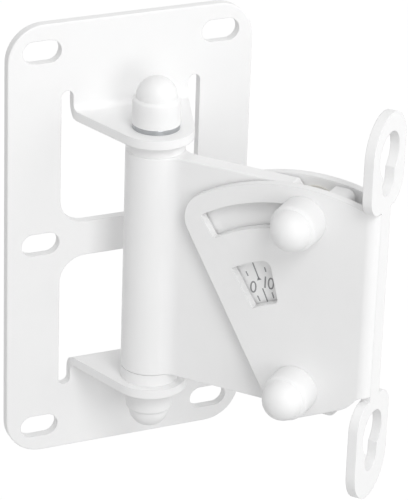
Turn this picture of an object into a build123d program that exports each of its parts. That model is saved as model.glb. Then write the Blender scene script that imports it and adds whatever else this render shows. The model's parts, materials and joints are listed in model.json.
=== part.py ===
from build123d import *
from math import asin, cos, degrees, radians, sin
import os

# Speaker wall bracket: a wall plate with two folded flanges, a swivel arm rolled round a
# vertical pivot bolt, and a folded tilt bracket with two keyhole ears for the speaker.
# Millimetres. Origin at the centre of the plate's wall face, +Y into the wall, +Z up.

# Overall sizes
plate_width = 110.0
plate_height = 198.0
arm_height = 100.0
pivot_reach = 31.0
sheet = 4.0
swivel_at_rest = 40.0
tilt_travel = 30.0

# Wall plate
plate_corner_r = 16.0
slot_length = 17.0
slot_width = 10.0
slot_side_margin = 15.0
slot_end_margin = 12.0
window_side_margin = 23.7
crossbar_height = 15.5
window_corner_r = 11.5
flange_nose_r = 16.0
flange_root_half = 26.0
bend_r = 3.0
relief_depth = 6.2
plate_edge_r = 0.6

# Fasteners, all of one thread size
bolt_r = 5.0
hex_flats = 16.0
head_height = 6.4
nut_height = 8.4
hex_chamfer = 1.1
bolt_end = 3.0
bolt_end_chamfer = 1.0
washer_r = 10.0
washer_thickness = 2.0
washer_bore_clear = 0.25
cap_r = 10.5
cap_skirt = 9.8
cap_shoulder = 0.2
cap_rim = 0.4
cap_clear = 0.15

# Fits
running_clear = 0.05
hole_clear = 0.25
face_gap = 0.05

# Swivel eye and its flanged bushes
eye_r = 12.5
bush_flange_height = 5.2
bush_spigot_length = 14.0
eye_blend_r = 8.0
leaf_offset = 1.75
arm_end_corner_r = 3.5
arm_edge_r = 0.5

# Bolt places in the arm
arm_end_margin = 16.9
tilt_pivot_up = 11.5
clamp_bolt_down = 12.0
notch_clear = 0.2
funnel_depth = 3.7
funnel_spread = 3.0

# Tilt bracket
shim_thickness = 0.8
web_from_pivot = 32.1
web_bend_inner_r = 1.0
wing_rim = 13.5
wing_edge_angle = 29.4
wing_edge_margin = 15.3
wing_eye_gap = 3.2
wing_top_corner_r = 12.0
wing_heel_r = 13.0
wing_foot_angle = 24.7
wing_foot_margin = 13.0
wing_shoulder_angle = 49.0
wing_shoulder_margin = 19.8
wing_shoulder_r = 15.0
web_foot_up = 2.5
web_foot_r = 3.0
arc_slot_clear = 0.5
arc_slot_corner_r = 1.0
arc_stop_clear = 0.1
scale_inset = 29.3
scale_band = 18.9
scale_start_angle = 104.3
scale_end_angle = 123.1
scale_top_corner_r = 3.5
scale_foot_corner_r = 2.0

# Keyhole ears
ear_width = 32.5
ear_shoulder_r = 10.0
ear_neck_half = 4.6
upper_ear_start = 0.9
upper_ear_length = 41.5
lower_ear_start = 2.5
lower_ear_length = 46.0
keyhole_big_r = 9.7
keyhole_small_r = 6.0
keyhole_drop = 11.6
upper_keyhole_down = 17.8
lower_keyhole_up = 18.3

# Planes and heights worked out from the sizes above
half_arm = arm_height / 2
flange_inner = half_arm + bush_flange_height + 2 * face_gap
flange_outer = flange_inner + sheet
bend_start = flange_outer + bend_r
eye_bore_r = eye_r - sheet
tilt_pivot_z = tilt_pivot_up - half_arm
clamp_radius = arm_height - tilt_pivot_up - clamp_bolt_down
wing_r = clamp_radius + wing_rim
leaf_half = sheet
wing_inner_half = leaf_half + shim_thickness + face_gap
wing_outer_half = wing_inner_half + sheet
top_left_angle = 90 + wing_edge_angle + degrees(asin(wing_edge_margin / wing_r))
wing_reach = wing_r * sin(radians(top_left_angle - 90))
tilt_pivot_along = eye_r + wing_eye_gap + wing_reach
arm_length = tilt_pivot_along + arm_end_margin
web_along = tilt_pivot_along + web_from_pivot
web_top = (wing_r ** 2 - web_from_pivot ** 2) ** 0.5

turn = radians(swivel_at_rest)
along_arm = Vector(sin(turn), -cos(turn), 0)
near_side = Vector(-cos(turn), -sin(turn), 0)
pivot_foot = Vector(0, -pivot_reach, 0)
across = Axis(pivot_foot, near_side)
outward = Axis(pivot_foot, along_arm)
tilt_pivot = pivot_foot + along_arm * tilt_pivot_along + Vector(0, 0, tilt_pivot_z)

arm_plan = Plane(pivot_foot, x_dir=along_arm, z_dir=(0, 0, 1))
tilt_side = Plane(tilt_pivot, x_dir=along_arm, z_dir=near_side)
web_inner_face = Plane(
    tilt_pivot + along_arm * (web_from_pivot - sheet),
    x_dir=near_side * -1,
    z_dir=along_arm,
)
clamp_side = Plane(
    tilt_pivot + Vector(0, 0, clamp_radius), x_dir=along_arm, z_dir=near_side
)


def line_crossing(first, second):
    """Crossing of two lines, each given by the angle of its normal and its distance out."""
    first_angle, first_out = radians(first[0]), first[1]
    second_angle, second_out = radians(second[0]), second[1]
    share = sin(second_angle - first_angle)
    x = (first_out * sin(second_angle) - second_out * sin(first_angle)) / share
    y = (second_out * cos(first_angle) - first_out * cos(second_angle)) / share
    return (x, y)


def ring_sector(inner_r, outer_r, start_angle, end_angle):
    """A curved slot about the plane's origin, as a sketch."""
    with BuildSketch() as sector:
        with BuildLine():
            inner = CenterArc((0, 0), inner_r, start_angle, end_angle - start_angle)
            outer = CenterArc((0, 0), outer_r, start_angle, end_angle - start_angle)
            Line(inner @ 0, outer @ 0)
            Line(inner @ 1, outer @ 1)
        make_face()
    return sector.sketch


def profile_plane(seat):
    """The plane through a seat's axis, with its Y along the axis."""
    return Plane(seat.origin, x_dir=seat.x_dir, z_dir=seat.y_dir * -1)


def hex_blank(seat, height):
    """A hexagon prism on the seat, its outer corners turned down to a cone."""
    corner_r = hex_flats / 2 / cos(radians(30))
    with BuildPart() as blank:
        with BuildSketch(seat):
            RegularPolygon(hex_flats / 2, 6, major_radius=False)
        extrude(amount=height)
        with BuildSketch(profile_plane(seat)):
            with BuildLine():
                Polyline(
                    (0, 0),
                    (corner_r, 0),
                    (corner_r, height - hex_chamfer / 2),
                    (corner_r - hex_chamfer, height),
                    (0, height),
                    close=True,
                )
            make_face()
        revolve(axis=Axis(seat.origin, seat.z_dir), mode=Mode.INTERSECT)
    return blank.part


def hex_bolt(seat, length):
    """A hexagon bolt whose head stands on the seat and whose shank runs back through it."""
    head = hex_blank(seat, head_height)
    with BuildPart() as bolt:
        add(head)
        with BuildSketch(seat):
            Circle(bolt_r)
        extrude(amount=-length)
        tip = bolt.edges().sort_by(Axis(seat.origin, seat.z_dir))[0]
        chamfer(tip, bolt_end_chamfer)
    return bolt.part


def hex_nut(seat):
    """A hexagon nut standing on the seat."""
    blank = hex_blank(seat, nut_height)
    with BuildPart() as nut:
        add(blank)
        with BuildSketch(seat):
            Circle(bolt_r + running_clear)
        extrude(amount=nut_height, mode=Mode.SUBTRACT)
    return nut.part


def flat_ring(seat, outer_r, bore_r, thickness):
    """A washer or shim lying on the seat."""
    with BuildPart() as ring:
        with BuildSketch(seat):
            Circle(outer_r)
            Circle(bore_r, mode=Mode.SUBTRACT)
        extrude(amount=thickness)
    return ring.part


def screw_cap(seat, hex_height, thread_height):
    """A domed push-on cap with a hexagon socket and a blind bore for the bolt's end."""
    dome_r = cap_r - cap_shoulder
    with BuildPart() as cap:
        with BuildSketch(profile_plane(seat)):
            with BuildLine():
                Polyline(
                    (0, 0),
                    (cap_r - cap_rim, 0),
                    (cap_r, cap_rim),
                    (cap_r, cap_skirt - cap_shoulder),
                    (dome_r, cap_skirt),
                )
                dome = CenterArc((0, cap_skirt), dome_r, 0, 90)
                Line(dome @ 1, (0, 0))
            make_face()
        revolve(axis=Axis(seat.origin, seat.z_dir))
        with BuildSketch(seat):
            RegularPolygon(hex_flats / 2 + cap_clear, 6, major_radius=False)
        extrude(amount=hex_height + cap_clear, mode=Mode.SUBTRACT)
        with BuildSketch(seat):
            Circle(bolt_r + cap_clear)
        extrude(amount=thread_height + 2 * cap_clear, mode=Mode.SUBTRACT)
    return cap.part


# Wall plate: one sheet, with the two flanges folded forward out of the windows
half_plate = plate_height / 2
window_half = plate_width / 2 - window_side_margin
relief_r = (window_half - flange_root_half) / 2
relief_middle = flange_root_half + relief_r
relief_end = bend_start + relief_depth - relief_r
with BuildSketch(Plane.XZ) as window:
    with BuildLine():
        right_relief = CenterArc((relief_middle, relief_end), relief_r, 0, 180)
        left_relief = CenterArc((-relief_middle, relief_end), relief_r, 0, 180)
        Polyline(
            right_relief @ 1,
            (flange_root_half, bend_start),
            (-flange_root_half, bend_start),
            left_relief @ 0,
        )
        Polyline(
            left_relief @ 1,
            (-window_half, crossbar_height / 2),
            (window_half, crossbar_height / 2),
            right_relief @ 0,
        )
    make_face()
    fillet(window.vertices().group_by(Axis.Y)[0], window_corner_r)
    mirror(about=Plane.XZ)
with BuildPart() as wall_plate:
    with BuildSketch(Plane.YZ) as flange_section:
        with BuildLine():
            fold_inner = CenterArc((-sheet - bend_r, bend_start), bend_r, 270, 90)
            fold_outer = CenterArc((-sheet - bend_r, bend_start), bend_r + sheet, 270, 90)
            flange_front = -pivot_reach - flange_nose_r
            Line(fold_inner @ 1, fold_outer @ 1)
            Polyline(
                fold_outer @ 0,
                (flange_front, flange_inner),
                (flange_front, flange_outer),
                fold_inner @ 0,
            )
        make_face()
    extrude(amount=flange_root_half, both=True)
    with BuildSketch() as flange_plan:
        with Locations((0, -sheet / 2)):
            Rectangle(2 * flange_root_half, sheet)
        with Locations((0, -pivot_reach)):
            Circle(flange_nose_r)
        make_hull()
    extrude(amount=half_plate, mode=Mode.INTERSECT)
    mirror(about=Plane.XY)
    with BuildSketch(Plane.XZ) as plate_outline:
        RectangleRounded(plate_width, plate_height, plate_corner_r)
        with GridLocations(
            plate_width - 2 * slot_side_margin, half_plate - slot_end_margin, 2, 3
        ):
            SlotOverall(slot_length, slot_width, mode=Mode.SUBTRACT)
        add(window.sketch_local, mode=Mode.SUBTRACT)
    extrude(amount=sheet)
    plate_front = wall_plate.faces().filter_by(Axis.Y).sort_by(Axis.Y)[0]
    fillet(plate_front.outer_wire().edges(), plate_edge_r)
    with BuildSketch(Plane.XY.offset(-half_plate)) as pivot_holes:
        with Locations((0, -pivot_reach)):
            Circle(bolt_r + hole_clear)
    extrude(amount=plate_height, mode=Mode.SUBTRACT)

# Swivel arm: sheet rolled into an eye, its two leaves closed together and welded
with BuildPart() as swivel_arm:
    with BuildSketch(arm_plan.offset(-half_arm)) as arm_section:
        Circle(eye_r)
        with Locations((arm_length / 2, -leaf_offset)):
            Rectangle(arm_length, 2 * leaf_half)
        eye_corners = arm_section.vertices().sort_by_distance((0, 0))[:2]
        fillet(eye_corners, eye_blend_r)
    extrude(amount=arm_height)
    end_corners = swivel_arm.edges().filter_by(across).group_by(outward)[-1]
    fillet(end_corners, arm_end_corner_r)
    arm_end = swivel_arm.faces().sort_by(outward)[-1]
    fillet(arm_end.edges().filter_by(Axis.Z), arm_edge_r)
    with BuildSketch(arm_plan.offset(-half_arm)) as eye_bore:
        Circle(eye_bore_r)
    extrude(amount=arm_height, mode=Mode.SUBTRACT)
    notch_r = bolt_r + notch_clear
    with BuildSketch(tilt_side) as arm_holes:
        Circle(bolt_r + hole_clear)
        with Locations((0, clamp_radius)):
            Circle(notch_r)
        with BuildLine():
            top = half_arm - tilt_pivot_z
            Polyline(
                (-notch_r, clamp_radius),
                (-notch_r, top - funnel_depth),
                (-notch_r - funnel_spread, top),
                (notch_r + funnel_spread, top),
                (notch_r, top - funnel_depth),
                (notch_r, clamp_radius),
                close=True,
            )
        make_face()
    extrude(amount=leaf_offset + 2 * leaf_half, both=True, mode=Mode.SUBTRACT)

# Tilt bracket: a folded channel whose wings clasp the arm, with an ear at each end of the web
arc_half = bolt_r + arc_slot_clear
bolt_angle = degrees(asin(bolt_r / clamp_radius)) + arc_stop_clear
arc_slot = ring_sector(
    clamp_radius - arc_half,
    clamp_radius + arc_half,
    90 - bolt_angle,
    90 + tilt_travel + bolt_angle,
)
scale_r = clamp_radius - scale_inset
scale_window = ring_sector(
    scale_r - scale_band / 2, scale_r + scale_band / 2, scale_start_angle, scale_end_angle
)
left_edge = (180 + wing_edge_angle, wing_edge_margin)
foot_edge = (wing_foot_angle - 90, wing_foot_margin)
shoulder_edge = (wing_shoulder_angle - 90, wing_shoulder_margin)
heel = line_crossing(left_edge, foot_edge)
shoulder = line_crossing(foot_edge, shoulder_edge)
web_foot = line_crossing(shoulder_edge, (-90, -web_foot_up))
web_angle = degrees(asin(web_top / wing_r))

with BuildPart() as tilt_bracket:
    channel_low = -wing_foot_margin
    with BuildSketch(arm_plan.offset(tilt_pivot_z + channel_low)) as channel:
        with Locations((web_along, -leaf_offset)):
            Rectangle(
                web_along, 2 * wing_outer_half, align=(Align.MAX, Align.CENTER)
            )
        fillet(channel.vertices().group_by(Axis.X)[-1], web_bend_inner_r + sheet)
    extrude(amount=wing_r - channel_low)
    with BuildSketch(arm_plan.offset(tilt_pivot_z + channel_low)) as channel_room:
        with Locations((web_along - sheet, -leaf_offset)):
            Rectangle(
                web_along, 2 * wing_inner_half, align=(Align.MAX, Align.CENTER)
            )
        fillet(channel_room.vertices().group_by(Axis.X)[-1], web_bend_inner_r)
    extrude(amount=wing_r - channel_low, mode=Mode.SUBTRACT)
    with BuildSketch(tilt_side) as wing_outline:
        with BuildLine():
            rim = CenterArc((0, 0), wing_r, web_angle, top_left_angle - web_angle)
            Polyline(rim @ 1, heel, shoulder, web_foot, (web_from_pivot, web_foot_up), rim @ 0)
        make_face()
        fillet(wing_outline.vertices().sort_by_distance(rim @ 1)[0], wing_top_corner_r)
        fillet(wing_outline.vertices().sort_by_distance(heel)[0], wing_heel_r)
        fillet(wing_outline.vertices().sort_by_distance(shoulder)[0], wing_shoulder_r)
        fillet(wing_outline.vertices().sort_by_distance(web_foot)[0], web_foot_r)
    extrude(amount=wing_outer_half + leaf_offset, both=True, mode=Mode.INTERSECT)
    with BuildSketch(tilt_side) as wing_slots:
        add(arc_slot)
        fillet(wing_slots.vertices(), arc_slot_corner_r)
        Circle(bolt_r + running_clear)
    extrude(amount=wing_outer_half + leaf_offset, both=True, mode=Mode.SUBTRACT)
    with BuildSketch(tilt_side) as dial_window:
        add(scale_window)
        right_corners = dial_window.vertices().sort_by(Axis.X)[-2:]
        fillet(right_corners.sort_by(Axis.Y)[0], scale_foot_corner_r)
        fillet(dial_window.vertices().sort_by(Axis.Y)[-1], scale_top_corner_r)
    extrude(amount=wing_outer_half + leaf_offset, mode=Mode.SUBTRACT)
    ear_half = ear_width / 2
    upper_foot = web_top + upper_ear_start
    upper_end = upper_foot + upper_ear_length
    lower_foot = web_foot_up - lower_ear_start
    lower_end = lower_foot - lower_ear_length
    with BuildSketch(web_inner_face) as upper_ear:
        with Locations((-leaf_offset, upper_end - ear_half)):
            Circle(ear_half)
        with Locations((-leaf_offset, upper_foot + ear_shoulder_r)):
            with GridLocations(ear_width - 2 * ear_shoulder_r, 0, 2, 1):
                Circle(ear_shoulder_r)
        make_hull()
    extrude(amount=sheet)
    with BuildSketch(web_inner_face) as lower_ear:
        with Locations((-leaf_offset, lower_end + ear_half)):
            Circle(ear_half)
        with Locations((-leaf_offset, lower_foot - ear_shoulder_r)):
            with GridLocations(ear_width - 2 * ear_shoulder_r, 0, 2, 1):
                Circle(ear_shoulder_r)
        make_hull()
    extrude(amount=sheet)
    with BuildSketch(web_inner_face) as necks:
        with Locations((-leaf_offset, (upper_foot + lower_foot) / 2)):
            Rectangle(2 * ear_neck_half, upper_foot - lower_foot + ear_shoulder_r)
    extrude(amount=sheet)
    with BuildSketch(web_inner_face) as keyholes:
        upper_big = upper_end - upper_keyhole_down
        lower_small = lower_end + lower_keyhole_up
        for big_height in (upper_big, lower_small + keyhole_drop):
            with Locations((-leaf_offset, big_height)):
                Circle(keyhole_big_r)
            with Locations((-leaf_offset, big_height - keyhole_drop)):
                Circle(keyhole_small_r)
            with Locations((-leaf_offset, big_height - keyhole_drop / 2)):
                Rectangle(2 * keyhole_small_r, keyhole_drop)
    extrude(amount=sheet, mode=Mode.SUBTRACT)

# Flanged bushes: the collars above and below the eye, with spigots inside it
with BuildPart() as upper_bush:
    with BuildSketch(Plane.XY.offset(half_arm + face_gap)):
        with Locations((0, -pivot_reach)):
            Circle(eye_r)
    extrude(amount=bush_flange_height)
    with BuildSketch(Plane.XY.offset(half_arm + face_gap)):
        with Locations((0, -pivot_reach)):
            Circle(eye_bore_r - running_clear)
    extrude(amount=-bush_spigot_length)
    with BuildSketch(Plane.XY.offset(half_arm - bush_spigot_length)):
        with Locations((0, -pivot_reach)):
            Circle(bolt_r + running_clear)
    extrude(
        amount=bush_spigot_length + bush_flange_height + sheet, mode=Mode.SUBTRACT
    )
with BuildPart() as lower_bush:
    add(upper_bush.part.mirror(Plane.XY))

# Pivot bolt set: bolt up through both flanges, with a washer and nut on top and two caps
upper_seat = Plane((0, -pivot_reach, flange_outer), x_dir=(1, 0, 0), z_dir=(0, 0, 1))
lower_seat = Plane((0, -pivot_reach, -flange_outer), x_dir=(1, 0, 0), z_dir=(0, 0, -1))
nut_seat = upper_seat.offset(washer_thickness)
pivot_bolt_length = 2 * flange_outer + washer_thickness + nut_height + bolt_end
washer_bore_r = bolt_r + washer_bore_clear

# Seats of the two cross bolts: nuts and caps on the near wing, heads on the far wing
cross_bolt_length = (
    2 * wing_outer_half + 2 * face_gap + washer_thickness + nut_height + bolt_end
)
near_out = leaf_offset + wing_outer_half + face_gap
far_out = wing_outer_half + face_gap - leaf_offset

pieces = {
    "wall_plate": wall_plate.part,
    "swivel_arm": swivel_arm.part,
    "tilt_bracket": tilt_bracket.part,
    "upper_bush": upper_bush.part,
    "lower_bush": lower_bush.part,
    "pivot_bolt": hex_bolt(lower_seat, pivot_bolt_length),
    "pivot_washer": flat_ring(upper_seat, washer_r, washer_bore_r, washer_thickness),
    "pivot_nut": hex_nut(nut_seat),
    "upper_pivot_cap": screw_cap(nut_seat, nut_height, nut_height + bolt_end),
    "lower_pivot_cap": screw_cap(lower_seat, head_height, head_height),
}
for name, middle in (("clamp", clamp_side), ("tilt", tilt_side)):
    near_seat = middle.offset(near_out)
    far_wing_face = Plane(
        middle.origin - near_side * far_out, x_dir=along_arm, z_dir=near_side * -1
    )
    head_seat = far_wing_face.offset(washer_thickness)
    near_leaf_face = middle.offset(leaf_offset + leaf_half)
    far_leaf_face = Plane(
        middle.origin - near_side * (leaf_half - leaf_offset),
        x_dir=along_arm,
        z_dir=near_side * -1,
    )
    pieces[f"{name}_bolt"] = hex_bolt(head_seat, cross_bolt_length)
    pieces[f"{name}_washer"] = flat_ring(
        far_wing_face, washer_r, washer_bore_r, washer_thickness
    )
    pieces[f"{name}_nut"] = hex_nut(near_seat)
    pieces[f"{name}_cap"] = screw_cap(near_seat, nut_height, nut_height + bolt_end)
    pieces[f"{name}_near_shim"] = flat_ring(
        near_leaf_face, washer_r, washer_bore_r, shim_thickness
    )
    pieces[f"{name}_far_shim"] = flat_ring(
        far_leaf_face, washer_r, washer_bore_r, shim_thickness
    )

os.makedirs("parts", exist_ok=True)
for name, piece in pieces.items():
    piece.label = name
    export_step(piece, f"parts/{name}.step")
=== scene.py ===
import json
import logging
import math
from dataclasses import dataclass, field
from enum import Enum

import bmesh
import bpy
from mathutils import Matrix, Vector


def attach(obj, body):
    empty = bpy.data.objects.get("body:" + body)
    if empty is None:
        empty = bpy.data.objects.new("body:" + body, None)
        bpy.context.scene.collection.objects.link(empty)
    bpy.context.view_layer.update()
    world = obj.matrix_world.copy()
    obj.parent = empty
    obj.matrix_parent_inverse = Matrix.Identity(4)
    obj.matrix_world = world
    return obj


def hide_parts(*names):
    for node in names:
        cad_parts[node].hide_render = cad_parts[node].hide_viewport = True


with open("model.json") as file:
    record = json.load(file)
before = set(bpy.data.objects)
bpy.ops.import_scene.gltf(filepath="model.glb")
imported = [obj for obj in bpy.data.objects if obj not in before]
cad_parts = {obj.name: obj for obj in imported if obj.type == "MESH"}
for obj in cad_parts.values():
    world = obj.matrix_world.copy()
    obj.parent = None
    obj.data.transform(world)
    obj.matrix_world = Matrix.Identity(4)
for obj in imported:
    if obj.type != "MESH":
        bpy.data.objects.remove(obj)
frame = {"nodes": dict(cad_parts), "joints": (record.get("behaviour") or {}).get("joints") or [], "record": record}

log = logging.getLogger("speaker_wall_bracket")

MM = 0.001
UP = Vector((0, 0, 1))

# The colour sockets of a Mix node, which have their numbers alone
MIX_FIRST = 6
MIX_SECOND = 7
MIX_OUT = 2

# How many ways a Bevel node looks at an edge
EDGE_SAMPLES = 8


class Slot(Enum):
    """The record's material slots."""

    COAT = "white_powder_coat"
    CAP = "white_cap_plastic"
    BUSH = "white_bush_plastic"
    SHIM = "nylon_shim"
    ZINC = "zinc_plated_steel"


class WingScrew(Enum):
    """The two bolts that hold the bracket's wings to the arm."""

    CLAMP = "clamp"
    TILT = "tilt"


def linear(hex_colour: str, alpha: float = 1.0) -> tuple[float, float, float, float]:
    """Turn an sRGB hex colour to linear values.

    Args:
        hex_colour: Six hex digits after a hash mark.
        alpha: The fourth value.

    Returns:
        Red, green, blue and alpha, linear.
    """
    channels = [int(hex_colour[i : i + 2], 16) / 255 for i in (1, 3, 5)]
    bent = [c / 12.92 if c <= 0.04045 else ((c + 0.055) / 1.055) ** 2.4 for c in channels]
    return (*bent, alpha)


def add_node(
    tree: bpy.types.NodeTree,
    kind: str,
    settings: dict[str | int, object] | None = None,
    links: dict[str | int, bpy.types.NodeSocket] | None = None,
) -> bpy.types.Node:
    """Add a node with its settings and links.

    Args:
        tree: The node tree that it joins.
        kind: The node's type name.
        settings: Attributes by name, or values of inputs by name or number.
        links: Output sockets, by the name or number of the input that each goes into.

    Returns:
        The new node.
    """
    node = tree.nodes.new(kind)
    for name, value in (settings or {}).items():
        if isinstance(name, int) or name in node.inputs:
            node.inputs[name].default_value = value
        else:
            setattr(node, name, value)
    for name, socket in (links or {}).items():
        tree.links.new(socket, node.inputs[name])
    return node


def clear_tree(owner: bpy.types.Material | bpy.types.World) -> bpy.types.NodeTree:
    """Give a material or a world an empty node tree.

    Args:
        owner: The material or world.

    Returns:
        Its node tree.
    """
    owner.use_nodes = True
    owner.node_tree.nodes.clear()
    return owner.node_tree


@dataclass(frozen=True)
class PowderCoat:
    """White polyester powder coat, sprayed and baked on cut and folded steel sheet.

    Attributes:
        colour: The coat where the film is thick.
        shade: The coat where the film is thin.
        roughness: Its middling roughness.
        gloss_spread: How far the roughness wanders either way.
        film_mm: From one thick patch to the next.
        film_detail: How much finer the patches' own patches go.
        peel_mm: From one crest of the orange peel to the next.
        peel_detail: How much finer the peel's own ripples go.
        peel_ripple: How strong those ripples are.
        peel_depth_mm: The orange peel's height.
        peel_strength: How much of it shows.
        edge_mm: How far the coat rounds the sheet's cut edges.
        ior: Its index of refraction.
    """

    name: str = "baked_white_powder_coat"
    colour: str = "#F3F3F3"
    shade: str = "#F0F0F0"
    roughness: float = 0.42
    gloss_spread: float = 0.04
    film_mm: float = 18.0
    film_detail: float = 2.0
    peel_mm: float = 2.2
    peel_detail: float = 1.0
    peel_ripple: float = 0.4
    peel_depth_mm: float = 0.02
    peel_strength: float = 0.35
    edge_mm: float = 0.45
    ior: float = 1.5

    def make(self) -> bpy.types.Material:
        """Make the material.

        Returns:
            The node material.
        """
        # Baked powder flows out to a satin skin. It gives the eye broad soft highlights,
        # a faint orange peel in them, and edges that catch a thin line of light.
        # Real orange peel is about a millimetre across, and is drawn twice that to show.
        material = bpy.data.materials.new(self.name)
        tree = clear_tree(material)
        place = add_node(tree, "ShaderNodeTexCoord").outputs["Object"]
        peel = add_node(
            tree,
            "ShaderNodeTexNoise",
            {
                "Scale": 1 / (self.peel_mm * MM),
                "Detail": self.peel_detail,
                "Roughness": self.peel_ripple,
            },
            {"Vector": place},
        )
        film = add_node(
            tree,
            "ShaderNodeTexNoise",
            {"Scale": 1 / (self.film_mm * MM), "Detail": self.film_detail},
            {"Vector": place},
        )
        gloss = add_node(
            tree,
            "ShaderNodeMapRange",
            {
                "To Min": self.roughness - self.gloss_spread,
                "To Max": self.roughness + self.gloss_spread,
            },
            {"Value": film.outputs[0]},
        )
        tint = add_node(
            tree,
            "ShaderNodeMix",
            {
                "data_type": "RGBA",
                MIX_FIRST: linear(self.colour),
                MIX_SECOND: linear(self.shade),
            },
            {0: film.outputs[0]},
        )
        edge = add_node(
            tree,
            "ShaderNodeBevel",
            {"samples": EDGE_SAMPLES, "Radius": self.edge_mm * MM},
        )
        skin = add_node(
            tree,
            "ShaderNodeBump",
            {"Distance": self.peel_depth_mm * MM, "Strength": self.peel_strength},
            {"Height": peel.outputs[0], "Normal": edge.outputs[0]},
        )
        shader = add_node(
            tree,
            "ShaderNodeBsdfPrincipled",
            {"IOR": self.ior},
            {
                "Base Color": tint.outputs[MIX_OUT],
                "Roughness": gloss.outputs[0],
                "Normal": skin.outputs[0],
            },
        )
        add_node(tree, "ShaderNodeOutputMaterial", links={"Surface": shader.outputs[0]})
        return material


@dataclass(frozen=True)
class MouldedPlastic:
    """Injection-moulded plastic, from a mould with a fine spark-eroded skin.

    Attributes:
        colour: The plastic's own colour.
        roughness: Its middling roughness.
        glow: How much of the light spreads under its skin.
        glow_mm: How far that light spreads.
        gloss_spread: How far the roughness wanders either way.
        flow_mm: From one flow patch of the melt to the next.
        flow_detail: How much finer the patches' own patches go.
        grain_mm: From one grain of the mould's skin to the next.
        grain_detail: How much finer the grain's own grain goes.
        grain_ripple: How strong that finer grain is.
        grain_depth_mm: The grain's height.
        grain_strength: How much of it shows.
        ior: Its index of refraction.
    """

    name: str
    colour: str
    roughness: float
    glow: float
    glow_mm: float = 1.0
    gloss_spread: float = 0.03
    flow_mm: float = 9.0
    flow_detail: float = 1.0
    grain_mm: float = 0.7
    grain_detail: float = 3.0
    grain_ripple: float = 0.6
    grain_depth_mm: float = 0.012
    grain_strength: float = 0.4
    ior: float = 1.5

    def make(self) -> bpy.types.Material:
        """Make the material.

        Returns:
            The node material.
        """
        # The plastic lets a little light in, so it looks waxy and its shadows are soft.
        # The mould's skin spreads its highlight. Real grain is a tenth of a millimetre,
        # and is drawn coarser to show.
        material = bpy.data.materials.new(self.name)
        tree = clear_tree(material)
        place = add_node(tree, "ShaderNodeTexCoord").outputs["Object"]
        grain = add_node(
            tree,
            "ShaderNodeTexNoise",
            {
                "Scale": 1 / (self.grain_mm * MM),
                "Detail": self.grain_detail,
                "Roughness": self.grain_ripple,
            },
            {"Vector": place},
        )
        flow = add_node(
            tree,
            "ShaderNodeTexNoise",
            {"Scale": 1 / (self.flow_mm * MM), "Detail": self.flow_detail},
            {"Vector": place},
        )
        gloss = add_node(
            tree,
            "ShaderNodeMapRange",
            {
                "To Min": self.roughness - self.gloss_spread,
                "To Max": self.roughness + self.gloss_spread,
            },
            {"Value": flow.outputs[0]},
        )
        skin = add_node(
            tree,
            "ShaderNodeBump",
            {"Distance": self.grain_depth_mm * MM, "Strength": self.grain_strength},
            {"Height": grain.outputs[0]},
        )
        shader = add_node(
            tree,
            "ShaderNodeBsdfPrincipled",
            {
                "Base Color": linear(self.colour),
                "IOR": self.ior,
                "Subsurface Weight": self.glow,
                "Subsurface Scale": self.glow_mm * MM,
                "Subsurface Radius": (1.0, 1.0, 1.0),
            },
            {"Roughness": gloss.outputs[0], "Normal": skin.outputs[0]},
        )
        add_node(tree, "ShaderNodeOutputMaterial", links={"Surface": shader.outputs[0]})
        return material


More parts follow.
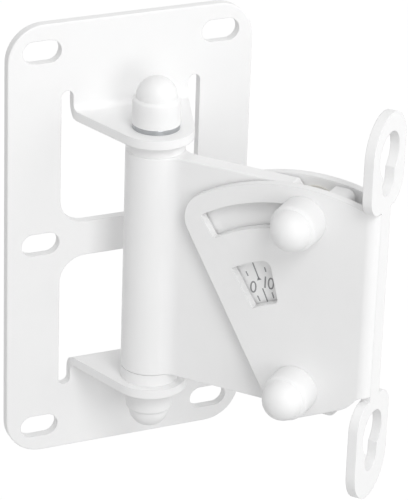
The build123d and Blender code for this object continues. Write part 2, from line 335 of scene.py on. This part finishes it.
@dataclass(frozen=True)
class ZincPlate:
    """Bright zinc plate on turned, headed and stamped steel.

    Attributes:
        colour: The plate where it is clean and bright.
        dull: The plate where it has clouded.
        roughness: Its middling roughness.
        gloss_spread: How far the roughness wanders either way.
        cloud_mm: From one clouded patch to the next.
        cloud_detail: How much finer the patches' own patches go.
        grain_mm: From one crystal patch to the next.
        grain_detail: How much finer the grain's own grain goes.
        grain_ripple: How strong that finer grain is.
        grain_depth_mm: The grain's height.
        grain_strength: How much of it shows.
        edge_mm: How far stamping rounds the edges.
    """

    name: str = "bright_zinc_plated_steel"
    colour: str = "#BEC0C2"
    dull: str = "#A6A8AB"
    roughness: float = 0.18
    gloss_spread: float = 0.06
    cloud_mm: float = 4.0
    cloud_detail: float = 2.0
    grain_mm: float = 0.35
    grain_detail: float = 2.0
    grain_ripple: float = 0.6
    grain_depth_mm: float = 0.01
    grain_strength: float = 0.3
    edge_mm: float = 0.3

    def make(self) -> bpy.types.Material:
        """Make the material.

        Returns:
            The node material.
        """
        # Zinc from the bath is a grey metal with a slightly blue cast. It mirrors the room
        # softly, so a ring of it turns from dark to light round the bolt.
        material = bpy.data.materials.new(self.name)
        tree = clear_tree(material)
        place = add_node(tree, "ShaderNodeTexCoord").outputs["Object"]
        grain = add_node(
            tree,
            "ShaderNodeTexNoise",
            {
                "Scale": 1 / (self.grain_mm * MM),
                "Detail": self.grain_detail,
                "Roughness": self.grain_ripple,
            },
            {"Vector": place},
        )
        cloud = add_node(
            tree,
            "ShaderNodeTexNoise",
            {"Scale": 1 / (self.cloud_mm * MM), "Detail": self.cloud_detail},
            {"Vector": place},
        )
        gloss = add_node(
            tree,
            "ShaderNodeMapRange",
            {
                "To Min": self.roughness - self.gloss_spread,
                "To Max": self.roughness + self.gloss_spread,
            },
            {"Value": cloud.outputs[0]},
        )
        tint = add_node(
            tree,
            "ShaderNodeMix",
            {
                "data_type": "RGBA",
                MIX_FIRST: linear(self.colour),
                MIX_SECOND: linear(self.dull),
            },
            {0: cloud.outputs[0]},
        )
        edge = add_node(
            tree,
            "ShaderNodeBevel",
            {"samples": EDGE_SAMPLES, "Radius": self.edge_mm * MM},
        )
        skin = add_node(
            tree,
            "ShaderNodeBump",
            {"Distance": self.grain_depth_mm * MM, "Strength": self.grain_strength},
            {"Height": grain.outputs[0], "Normal": edge.outputs[0]},
        )
        shader = add_node(
            tree,
            "ShaderNodeBsdfPrincipled",
            {"Metallic": 1.0},
            {
                "Base Color": tint.outputs[MIX_OUT],
                "Roughness": gloss.outputs[0],
                "Normal": skin.outputs[0],
            },
        )
        add_node(tree, "ShaderNodeOutputMaterial", links={"Surface": shader.outputs[0]})
        return material


@dataclass(frozen=True)
class PadInk:
    """Grey two-part ink, stamped on the baked coat with a silicone pad.

    Attributes:
        colour: The ink where it lies thick.
        thin: The ink where the coat shows through.
        roughness: Its roughness.
        speckle_mm: From one thin spot to the next.
        speckle_detail: How much finer the spots' own spots go.
    """

    name: str = "grey_pad_printed_ink"
    colour: str = "#858687"
    thin: str = "#9C9D9F"
    roughness: float = 0.5
    speckle_mm: float = 0.6
    speckle_detail: float = 2.0

    def make(self) -> bpy.types.Material:
        """Make the material.

        Returns:
            The node material.
        """
        # Pad ink is a thin matt film. The coat shows through it here and there, so a
        # line of it is a little uneven to the eye.
        material = bpy.data.materials.new(self.name)
        tree = clear_tree(material)
        place = add_node(tree, "ShaderNodeTexCoord").outputs["Object"]
        speckle = add_node(
            tree,
            "ShaderNodeTexNoise",
            {"Scale": 1 / (self.speckle_mm * MM), "Detail": self.speckle_detail},
            {"Vector": place},
        )
        tint = add_node(
            tree,
            "ShaderNodeMix",
            {
                "data_type": "RGBA",
                MIX_FIRST: linear(self.colour),
                MIX_SECOND: linear(self.thin),
            },
            {0: speckle.outputs[0]},
        )
        shader = add_node(
            tree,
            "ShaderNodeBsdfPrincipled",
            {"Roughness": self.roughness},
            {"Base Color": tint.outputs[MIX_OUT]},
        )
        add_node(tree, "ShaderNodeOutputMaterial", links={"Surface": shader.outputs[0]})
        return material


@dataclass
class Finishes:
    """The finish that stands for each of the record's material slots."""

    coat: PowderCoat = PowderCoat()
    cap: MouldedPlastic = MouldedPlastic("moulded_white_polyethylene", "#F0F0F0", 0.55, 0.15)
    bush: MouldedPlastic = MouldedPlastic("moulded_white_acetal", "#F0F0F0", 0.34, 0.1)
    shim: MouldedPlastic = MouldedPlastic("punched_natural_nylon", "#E4E2DC", 0.45, 0.2)
    zinc: ZincPlate = ZincPlate()
    made: dict[Slot, bpy.types.Material] = field(init=False)

    def __post_init__(self) -> None:
        """Make every finish once."""
        self.made = {
            Slot.COAT: self.coat.make(),
            Slot.CAP: self.cap.make(),
            Slot.BUSH: self.bush.make(),
            Slot.SHIM: self.shim.make(),
            Slot.ZINC: self.zinc.make(),
        }

    def dress(self, name: str) -> None:
        """Give a CAD node the finish of its slot, and report it.

        Args:
            name: The node's name.
        """
        row = next(row for row in frame["record"]["subparts"] if row["node"] == name)
        material = self.made[Slot(row["material_slot"])]
        mesh = frame["nodes"][name].data
        mesh.materials.clear()
        mesh.materials.append(material)
        log.info("%s: %s", name, material.name)


def near_side() -> Vector:
    """Give the direction out of the arm's near face, which the tilt bolt follows."""
    tilt = next(joint for joint in frame["joints"] if joint["name"] == "tilt")
    return -Vector(tilt["axis"])


@dataclass
class PushCap:
    """A domed cap, moulded in one shot, that is pushed over a nut or a bolt's head.

    Its sizes are in millimetres. Its skirt has a soft shoulder, and the dome on it is
    narrower than the skirt.

    Attributes:
        finishes: The finishes, of which it takes the cap's.
        rim_radius: The skirt's outer radius at its rim.
        skirt_radius: The same at its top, less the mould's draft.
        skirt_height: From the seat to the skirt's top.
        ledge_rise: How much higher the sloping ledge is where it meets the dome.
        dome_radius: The dome's radius.
        dome_centre: How high the centre of the dome is above the seat.
        shoulder: How far the shoulder is rounded.
        ledge_round: How far the corner between the ledge and the dome is filled.
        rim_round: How far the rim is rounded.
        socket_radius: The socket's radius, clear of the hexagon's corners.
        socket_depth: How deep the socket is.
        bore_radius: The radius of the bore for the bolt's end.
        bore_depth: How deep that bore is.
        dome_steps: Steps in the dome's quarter circle.
        turn_steps: Steps in the full turn.
        round_steps: Steps in each rounded corner.
        sharp_angle: The least angle, in degrees, at which an edge stays sharp.
        weld: How near two points are that become one.
        near: How near an edge lies to the ring that it is counted to.
    """

    finishes: Finishes
    rim_radius: float = 10.25
    skirt_radius: float = 9.95
    skirt_height: float = 10.5
    ledge_rise: float = 0.75
    dome_radius: float = 8.7
    dome_centre: float = 11.4
    shoulder: float = 0.75
    ledge_round: float = 0.1
    rim_round: float = 0.35
    socket_radius: float = 9.35
    socket_depth: float = 8.6
    bore_radius: float = 5.3
    bore_depth: float = 11.8
    dome_steps: int = 14
    turn_steps: int = 72
    round_steps: int = 4
    sharp_angle: float = 50.0
    weld: float = 0.0035
    near: float = 0.035

    def profile(self) -> bmesh.types.BMesh:
        """Draw half of the cap's section, from inside the bore round to the top of the dome.

        Returns:
            Its edges, with the cap's axis on Z and its seat at the origin.
        """
        shape = bmesh.new()
        corners = (
            (0.0, self.bore_depth),
            (self.bore_radius, self.bore_depth),
            (self.bore_radius, self.socket_depth),
            (self.socket_radius, self.socket_depth),
            (self.socket_radius, 0.0),
            (self.rim_radius, 0.0),
            (self.skirt_radius, self.skirt_height),
            (self.dome_radius, self.skirt_height + self.ledge_rise),
            (self.dome_radius, self.dome_centre),
        )
        points = [shape.verts.new((out, 0.0, up)) for out, up in corners]
        for first, second in zip(points, points[1:]):
            shape.edges.new((first, second))
        bmesh.ops.spin(
            shape,
            geom=[points[-1]],
            cent=(0, 0, self.dome_centre),
            axis=(0, -1, 0),
            angle=math.pi / 2,
            steps=self.dome_steps,
        )
        return shape

    def round_ring(
        self, shape: bmesh.types.BMesh, radius: float, height: float, by: float
    ) -> None:
        """Round the ring of edges at one corner of the section.

        Args:
            shape: The turned cap.
            radius: The ring's radius.
            height: The ring's height above the seat.
            by: How far it is rounded.
        """
        corner = Vector((radius, height))
        ring = [
            edge
            for edge in shape.edges
            if all(
                (Vector((vertex.co.xy.length, vertex.co.z)) - corner).length < self.near
                for vertex in edge.verts
            )
        ]
        bmesh.ops.bevel(
            shape,
            geom=ring,
            offset=by,
            affect="EDGES",
            segments=self.round_steps,
            profile=0.5,
            material=-1,
        )

    def turned(self) -> bmesh.types.BMesh:
        """Turn the section into a closed cap with its corners rounded.

        Returns:
            Its mesh, in millimetres, with its seat at the origin and its dome up.
        """
        shape = self.profile()
        bmesh.ops.spin(
            shape,
            geom=shape.verts[:] + shape.edges[:],
            cent=(0, 0, 0),
            axis=UP,
            angle=math.tau,
            steps=self.turn_steps,
            use_merge=True,
        )
        bmesh.ops.remove_doubles(shape, verts=shape.verts, dist=self.weld)
        self.round_ring(shape, self.skirt_radius, self.skirt_height, self.shoulder)
        ledge_height = self.skirt_height + self.ledge_rise
        self.round_ring(shape, self.dome_radius, ledge_height, self.ledge_round)
        self.round_ring(shape, self.rim_radius, 0.0, self.rim_round)
        bmesh.ops.recalc_face_normals(shape, faces=shape.faces)
        for face in shape.faces:
            face.smooth = True
        return shape

    def build(self, node: str, body: str, axis: Vector) -> None:
        """Push a cap on where a plain CAD cap is, in its stead.

        Args:
            node: The CAD cap's node.
            body: The body that it rides on.
            axis: From its seat to the top of its dome.
        """
        points = [vertex.co for vertex in frame["nodes"][node].data.vertices]
        top = max(points, key=axis.dot)
        tall = top.dot(axis) - min(point.dot(axis) for point in points)
        turn = axis.to_track_quat("Z", "Y").to_matrix().to_4x4()
        place = Matrix.Translation(top - axis * tall) @ turn @ Matrix.Scale(MM, 4)
        shape = self.turned()
        bmesh.ops.transform(shape, matrix=place, verts=shape.verts)
        name = f"domed_{node}"
        mesh = bpy.data.meshes.new(name)
        shape.to_mesh(mesh)
        shape.free()
        mesh.set_sharp_from_angle(angle=math.radians(self.sharp_angle))
        material = self.finishes.made[Slot.CAP]
        mesh.materials.append(material)
        piece = bpy.data.objects.new(name, mesh)
        bpy.context.scene.collection.objects.link(piece)
        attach(piece, body)
        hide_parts(node)
        log.info("%s: %s", name, material.name)


@dataclass
class WallPlate:
    """The cut and folded plate that is screwed to the wall."""

    finishes: Finishes

    def build(self) -> None:
        """Dress the plate."""
        self.finishes.dress("wall_plate")


@dataclass
class SwivelPivot:
    """The long bolt that the arm swivels on, with its bushes, nut and caps."""

    finishes: Finishes

    def build(self) -> None:
        """Dress the pivot's pieces."""
        for piece in ("bolt", "washer", "nut"):
            self.finishes.dress(f"pivot_{piece}")
        cap = PushCap(self.finishes)
        for end, outwards in (("upper", UP), ("lower", -UP)):
            self.finishes.dress(f"{end}_bush")
            self.finishes.dress(f"{end}_pivot_cap")
            cap.build(f"{end}_pivot_cap", "plate", outwards)


@dataclass
class TiltScale:
    """The scale printed on the arm's near face, read through the bracket's window.

    Its angles are taken about the tilt bolt, up from level and away from the wall, and its
    radii are in millimetres. The bracket turns clockwise as the tilt rises, so each number
    stands as many degrees clockwise of the zero as it says.

    Attributes:
        ink: The print's finish.
        zero_angle: Where the zero stands.
        step: Degrees from one number to the next.
        last: The last number.
        short_ticks: The stretches of a number's own tick, either side of it.
        long_ticks: The stretches of the line halfway to the next number.
        line: How wide the lines are.
        pointer_at: How far out the base of the small pointer on the long line is.
        pointer_width: The pointer's width at its base.
        pointer_height: The pointer's height.
        number_at: How far out the numbers are.
        number_height: The height of a number.
        number_narrow: How narrow its digits are beside the typeface's own.
        number_spacing: How close they stand beside the typeface's own.
        film: How far the print stands out from the coat.
        bite: How far the print is sunk into the coat, so that no gap shows.
        weld: How near two points of a letter's outline are that become one.
    """

    ink: bpy.types.Material
    zero_angle: float = 120.4
    step: int = 10
    last: int = 30
    short_ticks: tuple[tuple[float, float], ...] = ((38.5, 41.1), (50.3, 52.4))
    long_ticks: tuple[tuple[float, float], ...] = ((36.9, 43.5), (47.8, 55.2))
    line: float = 0.55
    pointer_at: float = 47.3
    pointer_width: float = 2.2
    pointer_height: float = 1.5
    number_at: float = 45.2
    number_height: float = 5.3
    number_narrow: float = 0.86
    number_spacing: float = 0.8
    film: float = 0.04
    bite: float = 0.02
    weld: float = 1e-5

    def place(self) -> Matrix:
        """Find the print's own axes on the arm's near face.

        Returns:
            Along the arm as X, up as Y and out of the face as Z, from the tilt bolt.
        """
        tilt = next(joint for joint in frame["joints"] if joint["name"] == "tilt")
        pivot, near = Vector(tilt["pos_m"]), near_side()
        reach = self.number_at * MM
        points = [vertex.co - pivot for vertex in frame["nodes"]["swivel_arm"].data.vertices]
        depths = [point.dot(near) for point in points if point.cross(near).length < reach]
        turn = Matrix((UP.cross(near), UP, near)).transposed().to_4x4()
        return Matrix.Translation(pivot + near * max(depths)) @ turn

    def add_line(
        self, print_mesh: bmesh.types.BMesh, angle: float, start: float, end: float
    ) -> None:
        """Add one line that points at the tilt bolt.

        Args:
            print_mesh: The mesh that it joins.
            angle: Where it stands, in degrees.
            start: The radius of its inner end.
            end: The radius of its outer end.
        """
        size = Matrix.Diagonal((end - start, self.line, self.film + self.bite, 1))
        out = Matrix.Translation(((start + end) / 2, 0, (self.film - self.bite) / 2))
        turn = Matrix.Rotation(math.radians(angle), 4, "Z")
        bmesh.ops.create_cube(print_mesh, size=1.0, matrix=turn @ out @ size)

    def add_pointer(self, print_mesh: bmesh.types.BMesh, angle: float) -> None:
        """Add the small three-cornered pointer on a long line.

        Args:
            print_mesh: The mesh that it joins.
            angle: Where it stands, in degrees.
        """
        # The three-sided prism of radius 1 that is drawn is 1.5 high and root 3 wide.
        wide, high = math.sqrt(3), 1.5
        size = Matrix.Diagonal((self.pointer_width / wide, self.pointer_height / high, 1, 1))
        middle = self.pointer_at + self.pointer_height / 3
        out = Matrix.Translation((middle, 0, (self.film - self.bite) / 2))
        tip_out = Matrix.Rotation(-math.pi / 2, 4, "Z")
        turn = Matrix.Rotation(math.radians(angle), 4, "Z")
        bmesh.ops.create_cone(
            print_mesh,
            cap_ends=True,
            segments=3,
            radius1=1.0,
            radius2=1.0,
            depth=self.film + self.bite,
            matrix=turn @ out @ tip_out @ size,
        )

    def lines(self) -> bmesh.types.BMesh:
        """Make every line and pointer of the scale.

        Returns:
            Their mesh, in millimetres on the print's own axes.
        """
        shape = bmesh.new()
        for number in range(0, self.last + 1, self.step):
            angle = self.zero_angle - number
            for start, end in self.short_ticks:
                self.add_line(shape, angle, start, end)
        for number in range(0, self.last, self.step):
            angle = self.zero_angle - number - self.step / 2
            for start, end in self.long_ticks:
                self.add_line(shape, angle, start, end)
            self.add_pointer(shape, angle)
        return shape

    def number(self, value: int) -> bmesh.types.BMesh:
        """Make one upright number.

        Args:
            value: The tilt that it stands for, in degrees.

        Returns:
            Its mesh, in millimetres on the print's own axes.
        """
        curve = bpy.data.curves.new("number", "FONT")
        curve.body = str(value)
        curve.space_character = self.number_spacing
        text = bpy.data.objects.new("number", curve)
        flat = bpy.data.meshes.new_from_object(text)
        bpy.data.objects.remove(text)
        bpy.data.curves.remove(curve)
        shape = bmesh.new()
        shape.from_mesh(flat)
        bpy.data.meshes.remove(flat)
        bmesh.ops.remove_doubles(shape, verts=shape.verts, dist=self.weld)
        across = [vertex.co.x for vertex in shape.verts]
        upward = [vertex.co.y for vertex in shape.verts]
        tall = self.number_height / (max(upward) - min(upward))
        size = Matrix.Diagonal((tall * self.number_narrow, tall, 1, 1))
        middle = Vector((max(across) + min(across), max(upward) + min(upward), 0)) / 2
        angle = math.radians(self.zero_angle - value)
        spot = Vector((math.cos(angle), math.sin(angle), 0)) * self.number_at
        spot.z = -self.bite
        centre = Matrix.Translation(spot) @ size @ Matrix.Translation(-middle)
        bmesh.ops.transform(shape, matrix=centre, verts=shape.verts)
        raised = bmesh.ops.extrude_face_region(shape, geom=shape.faces[:], use_keep_orig=True)
        tops = [item for item in raised["geom"] if isinstance(item, bmesh.types.BMVert)]
        bmesh.ops.translate(shape, verts=tops, vec=(0, 0, self.film + self.bite))
        return shape

    def lay(self, name: str, shape: bmesh.types.BMesh) -> None:
        """Print a mesh on the arm as a piece of its own.

        Args:
            name: The piece's name.
            shape: Its mesh, in millimetres on the print's own axes.
        """
        bmesh.ops.transform(
            shape, matrix=self.place() @ Matrix.Scale(MM, 4), verts=shape.verts
        )
        bmesh.ops.recalc_face_normals(shape, faces=shape.faces)
        mesh = bpy.data.meshes.new(name)
        shape.to_mesh(mesh)
        shape.free()
        mesh.materials.append(self.ink)
        piece = bpy.data.objects.new(name, mesh)
        bpy.context.scene.collection.objects.link(piece)
        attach(piece, "arm")
        log.info("%s: %s", name, self.ink.name)

    def build(self) -> None:
        """Print the lines and the numbers."""
        self.lay("tilt_scale_lines", self.lines())
        for value in range(0, self.last + 1, self.step):
            self.lay(f"tilt_scale_number_{value}", self.number(value))


@dataclass
class SwivelArm:
    """The arm with its rolled eye, and the scale that is printed on it."""

    finishes: Finishes
    scale: TiltScale

    def build(self) -> None:
        """Dress the arm and print its scale."""
        self.finishes.dress("swivel_arm")
        self.scale.build()


@dataclass
class TiltBracket:
    """The folded channel that carries the speaker, and the two bolts through its wings."""

    finishes: Finishes

    def build(self) -> None:
        """Dress the channel and its bolts."""
        self.finishes.dress("tilt_bracket")
        cap = PushCap(self.finishes)
        for screw in WingScrew:
            for piece in ("bolt", "washer", "nut", "cap", "near_shim", "far_shim"):
                self.finishes.dress(f"{screw.value}_{piece}")
            cap.build(f"{screw.value}_cap", "arm", near_side())


@dataclass(frozen=True)
class Lamp:
    """A soft square lamp that faces the bracket.

    Attributes:
        name: The lamp's name.
        azimuth: Degrees round to the right from straight in front of the wall.
        elevation: Degrees above the horizon.
        size: The length of its side, in metres.
        power: Its power, in watts.
        distance: How far it hangs from the bracket, in metres.
    """

    name: str
    azimuth: float
    elevation: float
    size: float
    power: float
    distance: float = 2.0

    def hang(self) -> None:
        """Hang the lamp."""
        place = towards(self.azimuth, self.elevation) * self.distance
        data = bpy.data.lights.new(self.name, "AREA")
        data.shape = "SQUARE"
        data.size = self.size
        data.energy = self.power
        light = bpy.data.objects.new(self.name, data)
        bpy.context.scene.collection.objects.link(light)
        light.location = place
        light.rotation_euler = (-place).to_track_quat("-Z", "Y").to_euler()


def towards(azimuth: float, elevation: float) -> Vector:
    """Point from the bracket to a viewer or a lamp.

    Args:
        azimuth: Degrees round to the right from straight in front of the wall.
        elevation: Degrees above the horizon.

    Returns:
        The unit direction.
    """
    turn, rise = math.radians(azimuth), math.radians(elevation)
    level = math.cos(rise)
    return Vector((math.sin(turn) * level, -math.cos(turn) * level, math.sin(rise)))


@dataclass
class Studio:
    """The white sweep, its lamps and the camera.

    Attributes:
        azimuth: Degrees that the camera stands to the right of straight in front.
        elevation: Degrees that it stands above the horizon.
        roll: Degrees that it leans.
        distance_mm: From the camera to the point that it looks at.
        focal_px: Its focal length, in pixels of the photograph.
        target_mm: The point that it looks at.
        frame_px: The longer side of the photograph.
        sensor_mm: The width of its sensor.
        clip_m: The nearest and farthest that it sees, in metres.
        floor_drop_mm: How far below the origin the floor lies.
        floor_reach_m: How far the floor reaches, in metres.
        paper: The floor's own colour.
        paper_roughness: The floor's roughness.
        paper_gloss: The floor's specular level.
        floor_white: How white the floor is shown, where 1 is white.
        floor_white_share: How much of what is seen is that white, and the rest is shadow.
        room_white: How white the room is shown.
        room_light: How much light the room gives.
        lamps: The key lamp, in front and above, a low one in front, and one at the right.
    """

    azimuth: float = -24.437
    elevation: float = 25.076
    roll: float = 2.010
    distance_mm: float = 1263.9
    focal_px: float = 2896.7
    target_mm: tuple[float, float, float] = (37.705, 0.0, -16.547)
    frame_px: int = 500
    sensor_mm: float = 36.0
    clip_m: tuple[float, float] = (0.05, 50.0)
    floor_drop_mm: float = 150.0
    floor_reach_m: float = 6.0
    paper: str = "#D0D0D0"
    paper_roughness: float = 0.9
    paper_gloss: float = 0.1
    floor_white: float = 1.1
    floor_white_share: float = 0.86
    room_white: float = 1.0
    room_light: float = 0.618
    lamps: tuple[Lamp, ...] = (
        Lamp("key_lamp", azimuth=-2.0, elevation=43.0, size=0.7, power=11.2),
        Lamp("front_lamp", azimuth=0.0, elevation=10.0, size=0.8, power=6.3),
        Lamp("side_lamp", azimuth=60.0, elevation=25.0, size=1.4, power=8.3),
    )

    def camera(self) -> None:
        """Place the camera at the photograph's viewing angle."""
        back = towards(self.azimuth, self.elevation)
        data = bpy.data.cameras.new("camera")
        data.sensor_width = self.sensor_mm
        data.lens = self.sensor_mm * self.focal_px / self.frame_px
        data.clip_start, data.clip_end = self.clip_m
        view = bpy.data.objects.new("camera", data)
        bpy.context.scene.collection.objects.link(view)
        facing = (-back).to_track_quat("-Z", "Y").to_matrix().to_4x4()
        spin = Matrix.Rotation(math.radians(self.roll), 4, "Z")
        place = Vector(self.target_mm) * MM + back * self.distance_mm * MM
        view.matrix_world = Matrix.Translation(place) @ facing @ spin
        bpy.context.scene.camera = view

    def seen(self, tree: bpy.types.NodeTree) -> bpy.types.NodeSocket:
        """Tell rays that show a surface from rays that light others.

        Args:
            tree: The node tree that asks.

        Returns:
            1 for what the eye, a reflection or glass sees, and 0 for the rest.
        """
        path = add_node(tree, "ShaderNodeLightPath").outputs
        direct = add_node(
            tree,
            "ShaderNodeMath",
            {"operation": "MAXIMUM"},
            {0: path["Is Camera Ray"], 1: path["Is Glossy Ray"]},
        )
        either = add_node(
            tree,
            "ShaderNodeMath",
            {"operation": "MAXIMUM"},
            {0: direct.outputs[0], 1: path["Is Transmission Ray"]},
        )
        return either.outputs[0]

    def sweep_paper(self) -> bpy.types.Material:
        """Make the sweep's paper, which is seen as plain white under its shadows.

        Returns:
            The node material.
        """
        # Studio background paper is matt and even, and gives the eye nothing but a soft
        # shadow under the object.
        material = bpy.data.materials.new("matt_white_sweep_paper")
        tree = clear_tree(material)
        paper = add_node(
            tree,
            "ShaderNodeBsdfPrincipled",
            {
                "Base Color": linear(self.paper),
                "Roughness": self.paper_roughness,
                "Specular IOR Level": self.paper_gloss,
            },
        )
        white = add_node(tree, "ShaderNodeEmission", {"Strength": self.floor_white})
        share = add_node(
            tree,
            "ShaderNodeMath",
            {"operation": "MULTIPLY", 1: self.floor_white_share},
            {0: self.seen(tree)},
        )
        blend = add_node(
            tree,
            "ShaderNodeMixShader",
            links={0: share.outputs[0], 1: paper.outputs[0], 2: white.outputs[0]},
        )
        add_node(tree, "ShaderNodeOutputMaterial", links={"Surface": blend.outputs[0]})
        return material

    def sweep(self) -> None:
        """Lay the floor that catches the soft shadow."""
        shape = bmesh.new()
        bmesh.ops.create_grid(
            shape,
            x_segments=1,
            y_segments=1,
            size=self.floor_reach_m,
            matrix=Matrix.Translation(-UP * self.floor_drop_mm * MM),
        )
        mesh = bpy.data.meshes.new("floor")
        shape.to_mesh(mesh)
        shape.free()
        mesh.materials.append(self.sweep_paper())
        floor = bpy.data.objects.new("floor", mesh)
        bpy.context.scene.collection.objects.link(floor)

    def room(self) -> None:
        """Fill the room with plain light, and show it white to the eye."""
        world = bpy.data.worlds.new("plain_room")
        bpy.context.scene.world = world
        tree = clear_tree(world)
        white = linear("#FFFFFF")
        light = add_node(
            tree, "ShaderNodeBackground", {"Color": white, "Strength": self.room_light}
        )
        shown = add_node(
            tree, "ShaderNodeBackground", {"Color": white, "Strength": self.room_white}
        )
        blend = add_node(
            tree,
            "ShaderNodeMixShader",
            links={0: self.seen(tree), 1: light.outputs[0], 2: shown.outputs[0]},
        )
        add_node(tree, "ShaderNodeOutputWorld", links={"Surface": blend.outputs[0]})

    def build(self) -> None:
        """Set up the camera, the room, the floor and the lamps."""
        self.camera()
        self.room()
        self.sweep()
        for lamp in self.lamps:
            lamp.hang()
        bpy.context.scene.view_settings.view_transform = "Standard"
        log.info("studio: camera, room, floor and %d lamps", len(self.lamps))


def main() -> None:
    """Build the picture of the bracket."""
    logging.basicConfig(level=logging.INFO, format="%(message)s")
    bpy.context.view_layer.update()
    finishes = Finishes()
    WallPlate(finishes).build()
    SwivelPivot(finishes).build()
    SwivelArm(finishes, TiltScale(PadInk().make())).build()
    TiltBracket(finishes).build()
    Studio().build()


if __name__ == "__main__":
    main()
